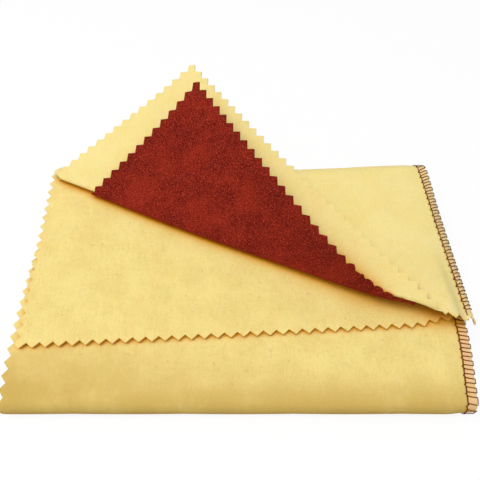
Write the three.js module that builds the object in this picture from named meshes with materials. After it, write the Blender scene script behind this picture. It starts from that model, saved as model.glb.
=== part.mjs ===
// A jewelry polishing cloth: two flannel covers with a rouge insert between them, pinked on three
// sides and bound on the fourth by a three-thread overlock. The cloth lies folded in three, and the
// free corner of the upper cover and the insert is turned back over a slanting crease.
// Millimetres. X runs across the cloth, Y to the back, Z up; the bottom panel lies on Z = 0.
//
// Every piece is drawn flat first, in cloth coordinates: u from the pinked side to the seam, v from
// the free end of the top panel along the cloth, and w through its thickness, with 0 at the insert.
import * as THREE from "three";

// The cloth, laid out flat.
const clothWidth = 202;
const clothLength = 347;
const plyThickness = 0.85;
const plyPitch = 1.7; // from the middle of one ply to the middle of the next
const seamPlyPitch = 1.15; // the same where the seam draws the plies together
const seamDrawWidth = 12; // how far in from the seam the plies are drawn together

// Pinking.
const toothPitch = 5.72;
const toothDepth = 2.4;

// The insert is cut smaller than the covers, and its fourth side runs into the seam. The upper
// cover stays a little inside the lower one at the pinked side.
const insertSideMargin = 24;
const insertEndMargin = 6.6;
const upperSideMargin = 2.5;

// Folded in three.
const topPanel = 99; // from the free end to the back fold, on the pinked side
const middlePanel = 118.4; // between the two folds, on the pinked side
const backFoldRadius = 5.1; // to the insert
const frontFoldRadius = 2.9; // to the insert
const backFoldSlant = THREE.MathUtils.degToRad(2.53); // across the flat cloth
const backFoldTurn = THREE.MathUtils.degToRad(0.7); // over the floor
const topPanelRise = THREE.MathUtils.degToRad(2.2); // to the back
const middlePanelRise = THREE.MathUtils.degToRad(1);
const middlePanelLean = THREE.MathUtils.degToRad(3.5); // how far its weave is pulled askew

// The turned-back corner.
const creaseBeforeFold = 0.6; // from where the crease leaves the pinked side to the back fold
const creaseBeforeSeam = 12; // from where it leaves the free end to the seam's cut edge
const creaseRadius = 1.1; // of the upper cover, which lies inside the bend
const coverTurn = {
  level: plyPitch,
  radius: creaseRadius,
  tiltAtSide: THREE.MathUtils.degToRad(20.7),
  tiltAtMiddle: THREE.MathUtils.degToRad(28.2),
  tiltAtEnd: THREE.MathUtils.degToRad(35),
  curl: THREE.MathUtils.degToRad(0.07), // a millimetre
  skew: 0.056, // how far its weave is pulled along the crease, a millimetre beyond the roll
  stretch: 0, // the share by which its weave is pulled away from the crease
};
const insertTurn = {
  level: 0,
  radius: creaseRadius + plyPitch,
  tiltAtSide: THREE.MathUtils.degToRad(36.8),
  tiltAtMiddle: THREE.MathUtils.degToRad(50.5),
  tiltAtEnd: THREE.MathUtils.degToRad(125),
  curl: THREE.MathUtils.degToRad(0.07),
  skew: 0.04,
  stretch: 0.1,
};

// Overlock.
const stitchPitch = 3.7;
const seamWidth = 4.1; // from the needle line to the cut edge
const threadDiameter = 0.3;
const threadGap = 0.2;
const loopWidth = 0.9; // of a looper thread's turn beside the needle thread
const loopSpreadShare = 0.3; // of a stitch, from its needle hole to where its loop meets the edge

// Facets.
const foldSteps = 12;
const frontFoldSteps = 10;
const creaseSteps = 5;
const threadSides = 3;
const rowSpacing = 34; // between the points along a row
const flapRows = 5;
const flapSpacing = 18; // the same on the turned-back corner

// What counts as nothing in a flat drawing.
const drawingDecimals = 4;
const sameSpot = 1e-4;
const leastArea = 1e-6;

// The places of the seam across the cloth.
const needleLine = clothWidth - seamWidth;
const seamDrawStart = clothWidth - seamDrawWidth;
const seamColumns = [seamDrawStart, needleLine];

// The places of the folds along the cloth, on the pinked side, and their lengths round the insert.
const stackHalf = plyPitch + plyThickness / 2;
const backFoldLength = backFoldRadius * (Math.PI + topPanelRise - middlePanelRise);
const frontFoldLength = frontFoldRadius * (Math.PI - middlePanelRise);
const frontFoldStart = topPanel + backFoldLength / Math.cos(backFoldSlant) + middlePanel;
const bottomPanel = clothLength - frontFoldStart - frontFoldLength;
const bottomLevel = stackHalf;
const middleFrontLevel = bottomLevel + frontFoldRadius * (1 + Math.cos(middlePanelRise));
const middleBackLevel = middleFrontLevel + middlePanel * Math.sin(middlePanelRise);

// How a flat point lies beside the back fold's start: along it and past it.
const backFoldDirection = new THREE.Vector2(Math.cos(backFoldSlant), -Math.sin(backFoldSlant));
const backFoldNormal = new THREE.Vector2(Math.sin(backFoldSlant), Math.cos(backFoldSlant));
function besideFoldStart(u, v) {
  const offset = new THREE.Vector2(u, v - topPanel);
  return { along: offset.dot(backFoldDirection), past: offset.dot(backFoldNormal) };
}

// The front fold lies across X. A flat point's distance past its start:
const frontFoldSlant = backFoldSlant - backFoldTurn;
const frontFoldNormal = new THREE.Vector2(Math.sin(frontFoldSlant), Math.cos(frontFoldSlant));
const pastFrontFold = (u, v) => new THREE.Vector2(u, v - frontFoldStart).dot(frontFoldNormal);

// A point beside the back fold's axis: along it, out to the back, and up.
const backFoldAxis = new THREE.Vector3(Math.cos(backFoldTurn), Math.sin(backFoldTurn), 0);
const backFoldOut = new THREE.Vector3(-Math.sin(backFoldTurn), Math.cos(backFoldTurn), 0);
const up = new THREE.Vector3(0, 0, 1);
function besideBackFold(along, out, rise) {
  return backFoldCentre
    .clone()
    .addScaledVector(backFoldAxis, along)
    .addScaledVector(backFoldOut, out)
    .addScaledVector(up, rise);
}

// A point that has run straight on from the back fold's roll at a heading over the level.
function runStraight(along, run, heading, w) {
  const reach = backFoldRadius + w;
  const out = run * Math.cos(heading) - reach * Math.sin(heading);
  const rise = run * Math.sin(heading) + reach * Math.cos(heading);
  return besideBackFold(along, out, rise);
}

// A point of the top panel's plane, which also carries what is turned back over it.
function onTopPanel(u, v, w) {
  const { along, past } = besideFoldStart(u, v);
  return runStraight(along, past, topPanelRise, w);
}

function onMiddlePanel(u, v, w) {
  const { along, past } = besideFoldStart(u, v);
  const run = past - backFoldLength;
  return runStraight(along + run * Math.tan(middlePanelLean), run, middlePanelRise - Math.PI, w);
}

// The left end of the back fold's axis. It puts the middle panel's pinked side evenly about one
// end of the cloth's width, and the bottom panel's length evenly about the origin.
const backFoldCentre = new THREE.Vector3(0, 0, middleBackLevel + backFoldRadius);
const frontLeft = onMiddlePanel(0, frontFoldStart, 0);
backFoldCentre.x = -(clothWidth + frontLeft.x) / 2;
backFoldCentre.y = -bottomPanel / 2 - frontLeft.y;

// A point past the front fold's start: the cloth rolls under and runs on along the floor.
function pastFrontStart(u, v, w) {
  const past = pastFrontFold(u, v);
  const foot = onMiddlePanel(u - past * frontFoldNormal.x, v - past * frontFoldNormal.y, 0);
  const centre = foot.y + frontFoldRadius * Math.sin(middlePanelRise);
  if (past >= frontFoldLength) {
    return new THREE.Vector3(foot.x, centre + past - frontFoldLength, bottomLevel + w);
  }
  const heading = middlePanelRise - Math.PI + past / frontFoldRadius;
  const reach = frontFoldRadius - w;
  const height = bottomLevel + frontFoldRadius - reach * Math.cos(heading);
  return new THREE.Vector3(foot.x, centre + reach * Math.sin(heading), height);
}

// A point of the folded cloth.
function onFoldedCloth(u, v, w) {
  const { along, past } = besideFoldStart(u, v);
  if (past <= 0) return onTopPanel(u, v, w);
  if (past < backFoldLength) {
    return runStraight(along, 0, topPanelRise - past / backFoldRadius, w);
  }
  return pastFrontFold(u, v) < 0 ? onMiddlePanel(u, v, w) : pastFrontStart(u, v, w);
}

// The crease runs from the pinked side to the free end.
const creaseOnSide = topPanel - creaseBeforeFold;
const creaseOnEnd = clothWidth - creaseBeforeSeam;
const creaseStart = new THREE.Vector2(0, creaseOnSide);
const creaseRun = new THREE.Vector2(creaseOnEnd, -creaseOnSide);
const creaseDirection = creaseRun.clone().normalize();
const creaseBack = new THREE.Vector2(-creaseDirection.y, creaseDirection.x);

// How far a flat point lies on the corner's side of the crease.
function beyondCrease(u, v) {
  return -new THREE.Vector2(u, v).sub(creaseStart).dot(creaseBack);
}

// A turned corner's tilt over the top panel, at a share of the way along the crease: a curve
// through its three places.
function tiltAt({ tiltAtSide, tiltAtMiddle, tiltAtEnd }, share) {
  const straight = THREE.MathUtils.lerp(tiltAtSide, tiltAtEnd, share);
  const bulge = tiltAtMiddle - (tiltAtSide + tiltAtEnd) / 2;
  return straight + 4 * bulge * share * (1 - share);
}

// A point of a ply whose corner is turned back: it rolls up and over the crease, then runs back
// over the top panel at a tilt that grows along the crease.
function onTurnedCloth(u, v, w, turn) {
  const beyond = beyondCrease(u, v) * (1 + turn.stretch);
  if (beyond <= 0) return onFoldedCloth(u, v, w);
  const along = new THREE.Vector2(u, v).sub(creaseStart).dot(creaseDirection);
  const tilt = tiltAt(turn, along / creaseRun.length());
  const { radius, level, curl, skew } = turn;
  const roll = radius * (Math.PI - tilt);
  let out, rise, normalOut, normalUp;
  if (beyond < roll) {
    const turned = beyond / radius;
    out = -radius * Math.sin(turned);
    rise = radius - radius * Math.cos(turned);
    normalOut = Math.sin(turned);
    normalUp = Math.cos(turned);
  } else {
    const heading = tilt + curl * (beyond - roll);
    out = -radius * Math.sin(tilt) + (Math.sin(heading) - Math.sin(tilt)) / curl;
    rise = radius + radius * Math.cos(tilt) - (Math.cos(heading) - Math.cos(tilt)) / curl;
    normalOut = Math.sin(heading);
    normalUp = -Math.cos(heading);
  }
  const offset = w - level;
  const skewed = along + skew * Math.max(beyond - roll, 0);
  const flat = creaseStart.clone().addScaledVector(creaseDirection, skewed);
  flat.addScaledVector(creaseBack, out + offset * normalOut);
  return onTopPanel(flat.x, flat.y, level + rise + offset * normalUp);
}

// How far the middle of a ply lies from the insert's: the seam draws the plies together.
function plyLevel(order, u) {
  const drawn = THREE.MathUtils.clamp((u - seamDrawStart) / (needleLine - seamDrawStart), 0, 1);
  return order * THREE.MathUtils.lerp(plyPitch, seamPlyPitch, drawn);
}

// A straight row across the flat cloth, with the direction that it is crossed in. Rows are where
// the folded cloth bends, and the cloth is flat or nearly so between them.
function row(normal, distance, spacing = rowSpacing) {
  return { normal, distance, spacing };
}

// The rows of the turned corner, from its tip to the crease.
function cornerRows(tipReach, turn) {
  const rows = [];
  const roll = (turn.radius * (Math.PI - turn.tiltAtSide)) / (1 + turn.stretch);
  const atCrease = creaseStart.dot(creaseBack);
  for (let i = flapRows; i > 0; i--) {
    const beyond = roll + ((tipReach - roll) * i) / (flapRows + 1);
    rows.push(row(creaseBack, atCrease - beyond, flapSpacing));
  }
  for (let i = creaseSteps; i >= 0; i--) {
    rows.push(row(creaseBack, atCrease - (roll * i) / creaseSteps, flapSpacing));
  }
  return rows;
}

// The rows of the back and front folds.
function foldRows() {
  const rows = [];
  const atBackFold = topPanel * backFoldNormal.y;
  for (let i = 0; i <= foldSteps; i++) {
    rows.push(row(backFoldNormal, atBackFold + (backFoldLength * i) / foldSteps));
  }
  const atFrontFold = frontFoldStart * frontFoldNormal.y;
  for (let i = 0; i <= frontFoldSteps; i++) {
    rows.push(row(frontFoldNormal, atFrontFold + (frontFoldLength * i) / frontFoldSteps));
  }
  return rows;
}

// One side of a ply's body, with its marks: the distances along it to the notches of the pinking.
// Each tooth stands between two notches, and a corner has a tooth of its own.
function side(start, end, outward, pinked) {
  const length = start.distanceTo(end);
  const marks = [];
  const teeth = pinked ? Math.round(length / toothPitch) : 0;
  for (let i = 0; i < teeth; i++) marks.push((length * (i + 1 / 2)) / teeth);
  return { start, end, outward, length, marks, pinked };
}

// The point at a distance along a chain of two sides.
function chainPoint(chain, distance) {
  const [first, second] = chain;
  const onFirst = distance <= first.length;
  const part = onFirst ? first : second;
  const share = (onFirst ? distance : distance - first.length) / part.length;
  return part.start.clone().lerp(part.end, Math.min(share, 1));
}

// Where a row meets a chain of two sides, as a distance along the chain.
function meet(chain, { normal, distance }) {
  let before = 0;
  for (const part of chain) {
    const from = part.start.dot(normal) - distance;
    const to = part.end.dot(normal) - distance;
    if (from <= 0 && to > 0) return before + (part.length * from) / (from - to);
    before += part.length;
  }
  return before;
}

// The bounds of the teeth along a chain, and the corner between its two sides.
function chainMarks([first, second]) {
  return [...first.marks, first.length, ...second.marks.map((mark) => first.length + mark)];
}

const chainLength = ([first, second]) => first.length + second.length;

// A ply drawn flat: its points, each kept once, and the triangles between them.
class Drawing {
  points = [];
  triangles = [];
  known = new Map();

  index(point) {
    const key = `${point.x.toFixed(drawingDecimals)},${point.y.toFixed(drawingDecimals)}`;
    if (!this.known.has(key)) {
      this.known.set(key, this.points.length);
      this.points.push(point);
    }
    return this.known.get(key);
  }

  // Twice the area of a triangle of points, positive when it runs anticlockwise.
  area(a, b, c) {
    const [p, q, r] = [this.points[a], this.points[b], this.points[c]];
    return q.clone().sub(p).cross(r.clone().sub(p));
  }

  // A convex outline, cut into triangles with the shortest cuts first. Points along its straight
  // edges all keep their place, so no cut may leave them without area.
  addConvex(outline) {
    const all = outline.map((point) => this.index(point));
    const loop = all.filter((each, i) => each !== all[(i + 1) % all.length]);
    const after = (i) => loop[(i + 1) % loop.length];
    const before = (i) => loop[(i + loop.length - 1) % loop.length];
    let left = 0;
    for (let i = 1; i + 1 < loop.length; i++) left += this.area(loop[0], loop[i], loop[i + 1]);
    while (left > leastArea) {
      let best;
      for (let i = 0; i < loop.length; i++) {
        const size = this.area(before(i), loop[i], after(i));
        const cut = this.points[before(i)].distanceTo(this.points[after(i)]);
        const last = loop.length === 3;
        const allowed = size > leastArea && (last || left - size > leastArea);
        if (allowed && (!best || cut < best.cut)) best = { i, size, cut };
      }
      if (!best) return;
      this.triangles.push([before(best.i), loop[best.i], after(best.i)]);
      loop.splice(best.i, 1);
      left -= best.size;
    }
  }

  // A fan from a tip to the points of its base, which run anticlockwise seen from the tip.
  addFan(tip, base) {
    const top = this.index(tip);
    const feet = base.map((point) => this.index(point));
    for (let i = 0; i + 1 < feet.length; i++) {
      if (feet[i] !== feet[i + 1]) this.triangles.push([top, feet[i], feet[i + 1]]);
    }
  }
}

// The two chains of sides of a ply's body. Both start at the free corner and end at the far end
// of the seam.
function chainsOf({ sideMargin, endMargin }) {
  const low = new THREE.Vector2(sideMargin + toothDepth, endMargin + toothDepth);
  const high = new THREE.Vector2(clothWidth, clothLength - endMargin - toothDepth);
  const seamFront = new THREE.Vector2(high.x, low.y);
  const sideBack = new THREE.Vector2(low.x, high.y);
  const left = side(low, sideBack, new THREE.Vector2(-1, 0), true);
  const back = side(sideBack, high, new THREE.Vector2(0, 1), true);
  const front = side(low, seamFront, new THREE.Vector2(0, -1), true);
  const seam = side(seamFront, high, new THREE.Vector2(1, 0), false);
  return { low, high, sideChain: [left, back], seamChain: [front, seam] };
}

// The points along a row, from where it meets one chain to where it meets the other.
function rowPoints(start, end, spacing) {
  const parts = Math.max(1, Math.round(start.distanceTo(end) / spacing));
  const shares = seamColumns.map((u) => (u - start.x) / (end.x - start.x));
  for (let i = 0; i <= parts; i++) shares.push(i / parts);
  const inside = shares.filter((share) => share >= 0 && share <= 1).sort((a, b) => a - b);
  return inside.map((share) => start.clone().lerp(end, share));
}

// Draws a ply's body, strip by strip between its rows, then its teeth.
function flatPly({ sideMargin, endMargin, rows }) {
  const drawing = new Drawing();
  const { low, high, sideChain, seamChain } = chainsOf({ sideMargin, endMargin });
  const cuts = rows.map((each) => {
    const [onSide, onSeam] = [meet(sideChain, each), meet(seamChain, each)];
    const [start, end] = [chainPoint(sideChain, onSide), chainPoint(seamChain, onSeam)];
    return { onSide, onSeam, line: rowPoints(start, end, each.spacing) };
  });
  cuts.unshift({ onSide: 0, onSeam: 0, line: [low] });
  cuts.push({ onSide: chainLength(sideChain), onSeam: chainLength(seamChain), line: [high] });
  const columns = seamColumns.map((u) => row(new THREE.Vector2(1, 0), u));
  const marksOf = (chain) => [...chainMarks(chain), ...columns.map((each) => meet(chain, each))];
  const sideMarks = [...marksOf(sideChain), ...cuts.map((cut) => cut.onSide)].sort((a, b) => a - b);
  const seamMarks = [...marksOf(seamChain), ...cuts.map((cut) => cut.onSeam)].sort((a, b) => a - b);
  for (let i = 0; i + 1 < cuts.length; i++) {
    const [near, far] = [cuts[i], cuts[i + 1]];
    const outline = [
      ...near.line,
      ...stretch(seamChain, seamMarks, near.onSeam, far.onSeam),
      ...[...far.line].reverse(),
      ...stretch(sideChain, sideMarks, near.onSide, far.onSide).reverse(),
    ];
    for (const cell of splitAtColumns(outline)) drawing.addConvex(cell);
  }
  addTeeth(drawing, sideChain, (from, to) => stretch(sideChain, sideMarks, from, to));
  addTeeth(drawing, seamChain, (from, to) => stretch(seamChain, seamMarks, from, to).reverse());
  const aside = stretch(sideChain, sideMarks, 0, sideChain[0].marks[0]);
  const ahead = stretch(seamChain, seamMarks, 0, seamChain[0].marks[0]);
  addCorner(drawing, [seamChain[0].outward, sideChain[0].outward], ahead.reverse(), aside);
  return drawing;
}

// The marked points of a chain between two distances along it, both ends with them.
function stretch(chain, marks, from, to) {
  return marks.filter((mark) => mark >= from && mark <= to).map((mark) => chainPoint(chain, mark));
}

// Splits a strip's outline where the seam's columns cross it. It has a point at every crossing.
function splitAtColumns(outline) {
  const bounds = [-Infinity, ...seamColumns, Infinity];
  const cells = [];
  for (let i = 0; i + 1 < bounds.length; i++) {
    const [from, to] = [bounds[i] - sameSpot, bounds[i + 1] + sameSpot];
    const cell = outline.filter((point) => point.x >= from && point.x <= to);
    if (cell.length > 2) cells.push(cell);
  }
  return cells;
}

// A corner's tooth, cut square: a tip straight out from each side, with an edge between them. The
// bases run anticlockwise, the first up to the corner and the second on from it.
function addCorner(drawing, outwards, baseBefore, baseAfter) {
  const corner = baseAfter[0];
  const tips = outwards.map((outward) => corner.clone().addScaledVector(outward, toothDepth));
  drawing.addFan(tips[0], baseBefore);
  drawing.addFan(tips[1], baseAfter);
  drawing.addFan(tips[0], [corner, tips[1]]);
}

// The teeth along a chain, with one on each corner. The free corner's is drawn apart.
function addTeeth(drawing, chain, baseBetween) {
  const [first, second] = chain;
  const ends = [...first.marks, ...second.marks.map((mark) => first.length + mark)];
  for (let i = 0; i + 1 < ends.length; i++) {
    const [from, to] = [ends[i], ends[i + 1]];
    if (from < first.length && to > first.length) {
      const bases = [baseBetween(from, first.length), baseBetween(first.length, to)];
      addCorner(drawing, [first.outward, second.outward], ...bases);
      continue;
    }
    const outward = from < first.length ? first.outward : second.outward;
    const tip = chainPoint(chain, (from + to) / 2).addScaledVector(outward, toothDepth);
    drawing.addFan(tip, baseBetween(from, to));
  }
  // The tooth that the seam cuts through.
  const cut = second.pinked ? chainLength(chain) : first.length;
  const outward = second.pinked ? second.outward : first.outward;
  const tip = chainPoint(chain, cut).addScaledVector(outward, toothDepth);
  drawing.addFan(tip, baseBetween(ends.at(-1), cut));
}

// Makes the solid of a ply from its flat drawing: both faces, and a wall along every edge that
// only one triangle has. place() says where a flat point lies on the folded cloth.
function plySolid({ points, triangles }, place) {
  const half = plyThickness / 2;
  const corners = [...points.map((p) => place(p, half)), ...points.map((p) => place(p, -half))];
  const below = points.length;
  const faces = [];
  const open = new Map();
  for (const [a, b, c] of triangles) {
    faces.push([a, b, c], [below + a, below + c, below + b]);
    for (const [from, to] of [[a, b], [b, c], [c, a]]) {
      if (!open.delete(`${to},${from}`)) open.set(`${from},${to}`, [from, to]);
    }
  }
  for (const [from, to] of open.values()) {
    faces.push([below + from, below + to, to], [below + from, to, from]);
  }
  return solid(corners, faces);
}

function solid(corners, faces) {
  const geometry = new THREE.BufferGeometry();
  const positions = corners.flatMap((corner) => corner.toArray());
  geometry.setAttribute("position", new THREE.Float32BufferAttribute(positions, 3));
  geometry.setIndex(faces.flat());
  geometry.computeVertexNormals();
  return geometry;
}

// A thread: a tube of a few sides along points in cloth coordinates, mitred at each bend.
function threadSolid(path) {
  const radius = threadDiameter / 2;
  const corners = [];
  const faces = [];
  const leg = (i) => path[i + 1].clone().sub(path[i]).normalize();
  let along = leg(0);
  let across = new THREE.Vector3(0, 0, 1).cross(along);
  if (across.length() < 1 / 2) across = new THREE.Vector3(1, 0, 0);
  across.normalize();
  let over = along.clone().cross(across);
  path.forEach((point, i) => {
    const next = i + 1 < path.length ? leg(i) : along;
    const middle = along.clone().add(next).normalize();
    for (let k = 0; k < threadSides; k++) {
      const angle = (2 * Math.PI * k) / threadSides;
      const from = across.clone().multiplyScalar(radius * Math.cos(angle));
      from.addScaledVector(over, radius * Math.sin(angle));
      from.addScaledVector(along, -from.dot(middle) / along.dot(middle));
      const at = point.clone().add(from);
      corners.push(onFoldedCloth(at.x, at.y, at.z));
    }
    const turn = new THREE.Quaternion().setFromUnitVectors(along, next);
    across.applyQuaternion(turn);
    over.applyQuaternion(turn);
    along = next;
  });
  for (let i = 0; i + 1 < path.length; i++) {
    for (let k = 0; k < threadSides; k++) {
      const [a, b] = [i * threadSides + k, i * threadSides + ((k + 1) % threadSides)];
      faces.push([a, b, b + threadSides], [a, b + threadSides, a + threadSides]);
    }
  }
  const last = (path.length - 1) * threadSides;
  for (let k = 1; k + 1 < threadSides; k++) {
    faces.push([0, k + 1, k], [last, last + k, last + k + 1]);
  }
  return solid(corners, faces);
}

// The overlock's own places: the level of its threads on both faces of the cloth, and the line
// just outside the cut edge where the loopers meet.
const threadLevel = seamPlyPitch + plyThickness / 2 + threadGap + threadDiameter / 2;
const edgeLine = clothWidth + threadGap + threadDiameter / 2;
const looperMeet = threadGap / 2 + threadDiameter / 2;
const seamLength = clothLength - 2 * toothDepth;
const stitches = Math.round(seamLength / stitchPitch) - 1;
const stitchAt = (i) => toothDepth + (seamLength * (i + 1)) / (stitches + 1);

// The needle thread lies along the needle line on the upper cover, from hole to hole.
function needlePath() {
  const path = [];
  for (let i = 0; i <= 2 * (stitches - 1); i++) {
    path.push(new THREE.Vector3(needleLine, stitchAt(i / 2), threadLevel));
  }
  return path;
}

// A looper thread: from each needle hole a loop runs out over one face of the cloth, round its
// edge, on to the next stitch and back.
function looperPath(face) {
  const path = [];
  const inner = needleLine + threadGap + threadDiameter;
  const spread = loopSpreadShare * stitchPitch;
  const push = (u, v, w) => path.push(new THREE.Vector3(u, v, face * w));
  for (let i = 0; i < stitches; i++) {
    const v = stitchAt(i);
    push(edgeLine, v - spread, looperMeet);
    push(edgeLine, v - spread, threadLevel);
    push(inner, v - loopWidth / 2, threadLevel);
    push(inner, v + loopWidth / 2, threadLevel);
    push(edgeLine, v + spread, threadLevel);
    push(edgeLine, v + spread, looperMeet);
  }
  return path;
}

const flannel = new THREE.MeshStandardMaterial({ color: 0xf0dc8c, roughness: 0.95, metalness: 0 });
const rouge = new THREE.MeshStandardMaterial({ color: 0x8c2a20, roughness: 0.97, metalness: 0 });
const thread = new THREE.MeshStandardMaterial({ color: 0x46210f, roughness: 0.6, metalness: 0 });

const cloth = new THREE.Group();

function add(name, geometry, material) {
  const mesh = new THREE.Mesh(geometry, material);
  mesh.name = name;
  cloth.add(mesh);
}

// How far the tip of a ply's turned corner lies from the crease.
const tipReach = (sideMargin, endMargin) => beyondCrease(sideMargin, endMargin);

const coverTop = flatPly({
  sideMargin: upperSideMargin,
  endMargin: 0,
  rows: [...cornerRows(tipReach(upperSideMargin, 0), coverTurn), ...foldRows()],
});
const insert = flatPly({
  sideMargin: insertSideMargin,
  endMargin: insertEndMargin,
  rows: [...cornerRows(tipReach(insertSideMargin, insertEndMargin), insertTurn), ...foldRows()],
});
const coverBottom = flatPly({ sideMargin: 0, endMargin: 0, rows: foldRows() });

add(
  "cover_top",
  plySolid(coverTop, (p, w) => onTurnedCloth(p.x, p.y, plyLevel(1, p.x) + w, coverTurn)),
  flannel,
);
add("rouge_insert", plySolid(insert, (p, w) => onTurnedCloth(p.x, p.y, w, insertTurn)), rouge);
add("cover_bottom", plySolid(coverBottom, (p, w) => onFoldedCloth(p.x, p.y, plyLevel(-1, p.x) + w)), flannel);
add("needle_thread", threadSolid(needlePath()), thread);
add("upper_looper_thread", threadSolid(looperPath(1)), thread);
add("lower_looper_thread", threadSolid(looperPath(-1)), thread);

export default cloth;
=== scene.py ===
"""A jewelry polishing cloth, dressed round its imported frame.

Two napped flannel covers and a rouge insert, pinked on three sides and bound on the fourth by an
overlock seam, lie folded in three with one corner of the upper cover and the insert turned back.

Every piece is drawn flat in cloth coordinates and then laid into the folded cloth: u runs from the
pinked side to the seam, v from the free end along the cloth, and w through its thickness, with 0
at the insert. Lengths are in metres.
"""

import logging
import math
from dataclasses import dataclass, field
from enum import Enum

import bpy
import numpy as np
from mathutils import Euler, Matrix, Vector
from mathutils.geometry import delaunay_2d_cdt


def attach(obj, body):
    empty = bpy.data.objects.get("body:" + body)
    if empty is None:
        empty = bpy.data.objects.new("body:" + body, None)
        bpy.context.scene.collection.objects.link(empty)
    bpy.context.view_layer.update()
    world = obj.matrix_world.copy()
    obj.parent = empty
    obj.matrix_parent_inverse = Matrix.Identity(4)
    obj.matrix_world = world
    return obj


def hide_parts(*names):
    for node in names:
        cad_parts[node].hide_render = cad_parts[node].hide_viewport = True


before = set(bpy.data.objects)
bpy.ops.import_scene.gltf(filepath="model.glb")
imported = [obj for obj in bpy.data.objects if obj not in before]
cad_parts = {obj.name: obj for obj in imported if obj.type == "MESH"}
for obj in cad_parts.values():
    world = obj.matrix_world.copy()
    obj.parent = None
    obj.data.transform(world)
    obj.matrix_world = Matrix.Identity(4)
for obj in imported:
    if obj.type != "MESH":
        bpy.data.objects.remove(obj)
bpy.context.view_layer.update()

LOG = logging.getLogger("polishing_cloth")
BODY = "root"
MM = 0.001
CM = 0.01

Array = np.ndarray
Colour = tuple[float, float, float, float]
Socket = bpy.types.NodeSocket
NodeOwner = bpy.types.Material | bpy.types.World
WHITE: Colour = (1.0, 1.0, 1.0, 1.0)


def smooth_step(x: Array, low: float, high: float) -> Array:
    """Rises smoothly from 0 at low to 1 at high."""
    t = np.clip((np.asarray(x) - low) / (high - low), 0.0, 1.0)
    return t * t * (3.0 - 2.0 * t)


def hump(x: Array, centre: float, reach: float) -> Array:
    """Rises to 1 at the centre, and falls to about a third of that at its reach."""
    return np.exp(-(((np.asarray(x) - centre) / reach) ** 2))


def put(name: str, data: bpy.types.ID) -> bpy.types.Object:
    """Puts an object with this data into the scene and returns it."""
    thing = bpy.data.objects.new(name, data)
    bpy.context.scene.collection.objects.link(thing)
    return thing


def put_mesh(name: str, vertices: Array, faces: list[tuple[int, ...]]) -> bpy.types.Object:
    """Puts a mesh with smooth shading into the scene.

    Args:
        name: Its name.
        vertices: Its points, as rows of x, y and z.
        faces: The points round each face.

    Returns:
        The mesh's object.
    """
    mesh = bpy.data.meshes.new(name)
    mesh.from_pydata(vertices.tolist(), [], faces)
    mesh.polygons.foreach_set("use_smooth", np.ones(len(mesh.polygons), dtype=bool))
    mesh.update()
    return put(name, mesh)


class Face(Enum):
    """The two faces of the folded cloth, by the side of the insert that they are on."""

    UPPER = 1
    LOWER = -1


@dataclass(frozen=True)
class ClothCut:
    """The cloth laid out flat.

    Attributes:
        width: From the pinked side to the seam's cut edge.
        length: Along the seam.
        thickness: Of one ply.
        pitch: From the middle of one ply to the middle of the next.
        seam_pitch: The same where the seam draws the plies together.
        seam_draw: How far in from the cut edge the plies are drawn together.
        seam_width: From the needle line to the cut edge.
    """

    width: float = 202.0 * MM
    length: float = 347.0 * MM
    thickness: float = 0.85 * MM
    pitch: float = 1.7 * MM
    seam_pitch: float = 1.15 * MM
    seam_draw: float = 12.0 * MM
    seam_width: float = 4.1 * MM

    @property
    def needle_line(self) -> float:
        """Where the needle line lies across the cloth."""
        return self.width - self.seam_width

    def level(self, order: int, u: Array) -> Array:
        """How far a ply's middle lies from the insert's, at places across the cloth."""
        drawn = smooth_step(u, self.width - self.seam_draw, self.needle_line)
        return order * (self.pitch + (self.seam_pitch - self.pitch) * drawn)


@dataclass(frozen=True)
class CornerTurn:
    """How one ply's free corner is turned back over the crease.

    Attributes:
        level: The ply's level where it leaves the top panel.
        radius: Of the roll, to the ply's middle.
        tilts: The flap's tilt over the top panel where the crease meets the pinked side, halfway
            along it, and where it meets the free end.
        curl: How fast the flap's tilt grows away from the roll, in radians a metre.
        skew: How far the flap's weave is pulled along the crease, for each metre beyond the roll.
        stretch: The share by which its weave is pulled away from the crease.
        pucker: How high the flap's creases stand near the free end.
    """

    level: float
    radius: float
    tilts: tuple[float, float, float]
    curl: float
    skew: float
    stretch: float = 0.0
    pucker: float = 0.0

    def puckered(self, share: Array, beyond: Array) -> Array:
        """How far creases near the free end lift the flap.

        Args:
            share: From 0 on the pinked side to 1 on the free end.
            beyond: How far beyond the crease each point lies.

        Returns:
            The lift at each point.
        """
        fine = np.sin(share * 190 + 2.2 * np.sin(beyond / (3.1 * MM)))
        coarse = 0.5 * np.sin(share * 77 + beyond / (1.7 * MM))
        near_end = smooth_step(share, 0.7, 0.84) * smooth_step(beyond, 2 * MM, 7 * MM)
        return self.pucker * near_end * (fine + coarse)

    def tilt(self, share: Array) -> Array:
        """The flap's tilt at shares of the way along the crease.

        Args:
            share: From 0 on the pinked side to 1 on the free end.

        Returns:
            A curve through the three tilts.
        """
        at_side, at_middle, at_end = self.tilts
        bulge = at_middle - (at_side + at_end) / 2
        return at_side + (at_end - at_side) * share + 4 * bulge * share * (1 - share)


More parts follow.
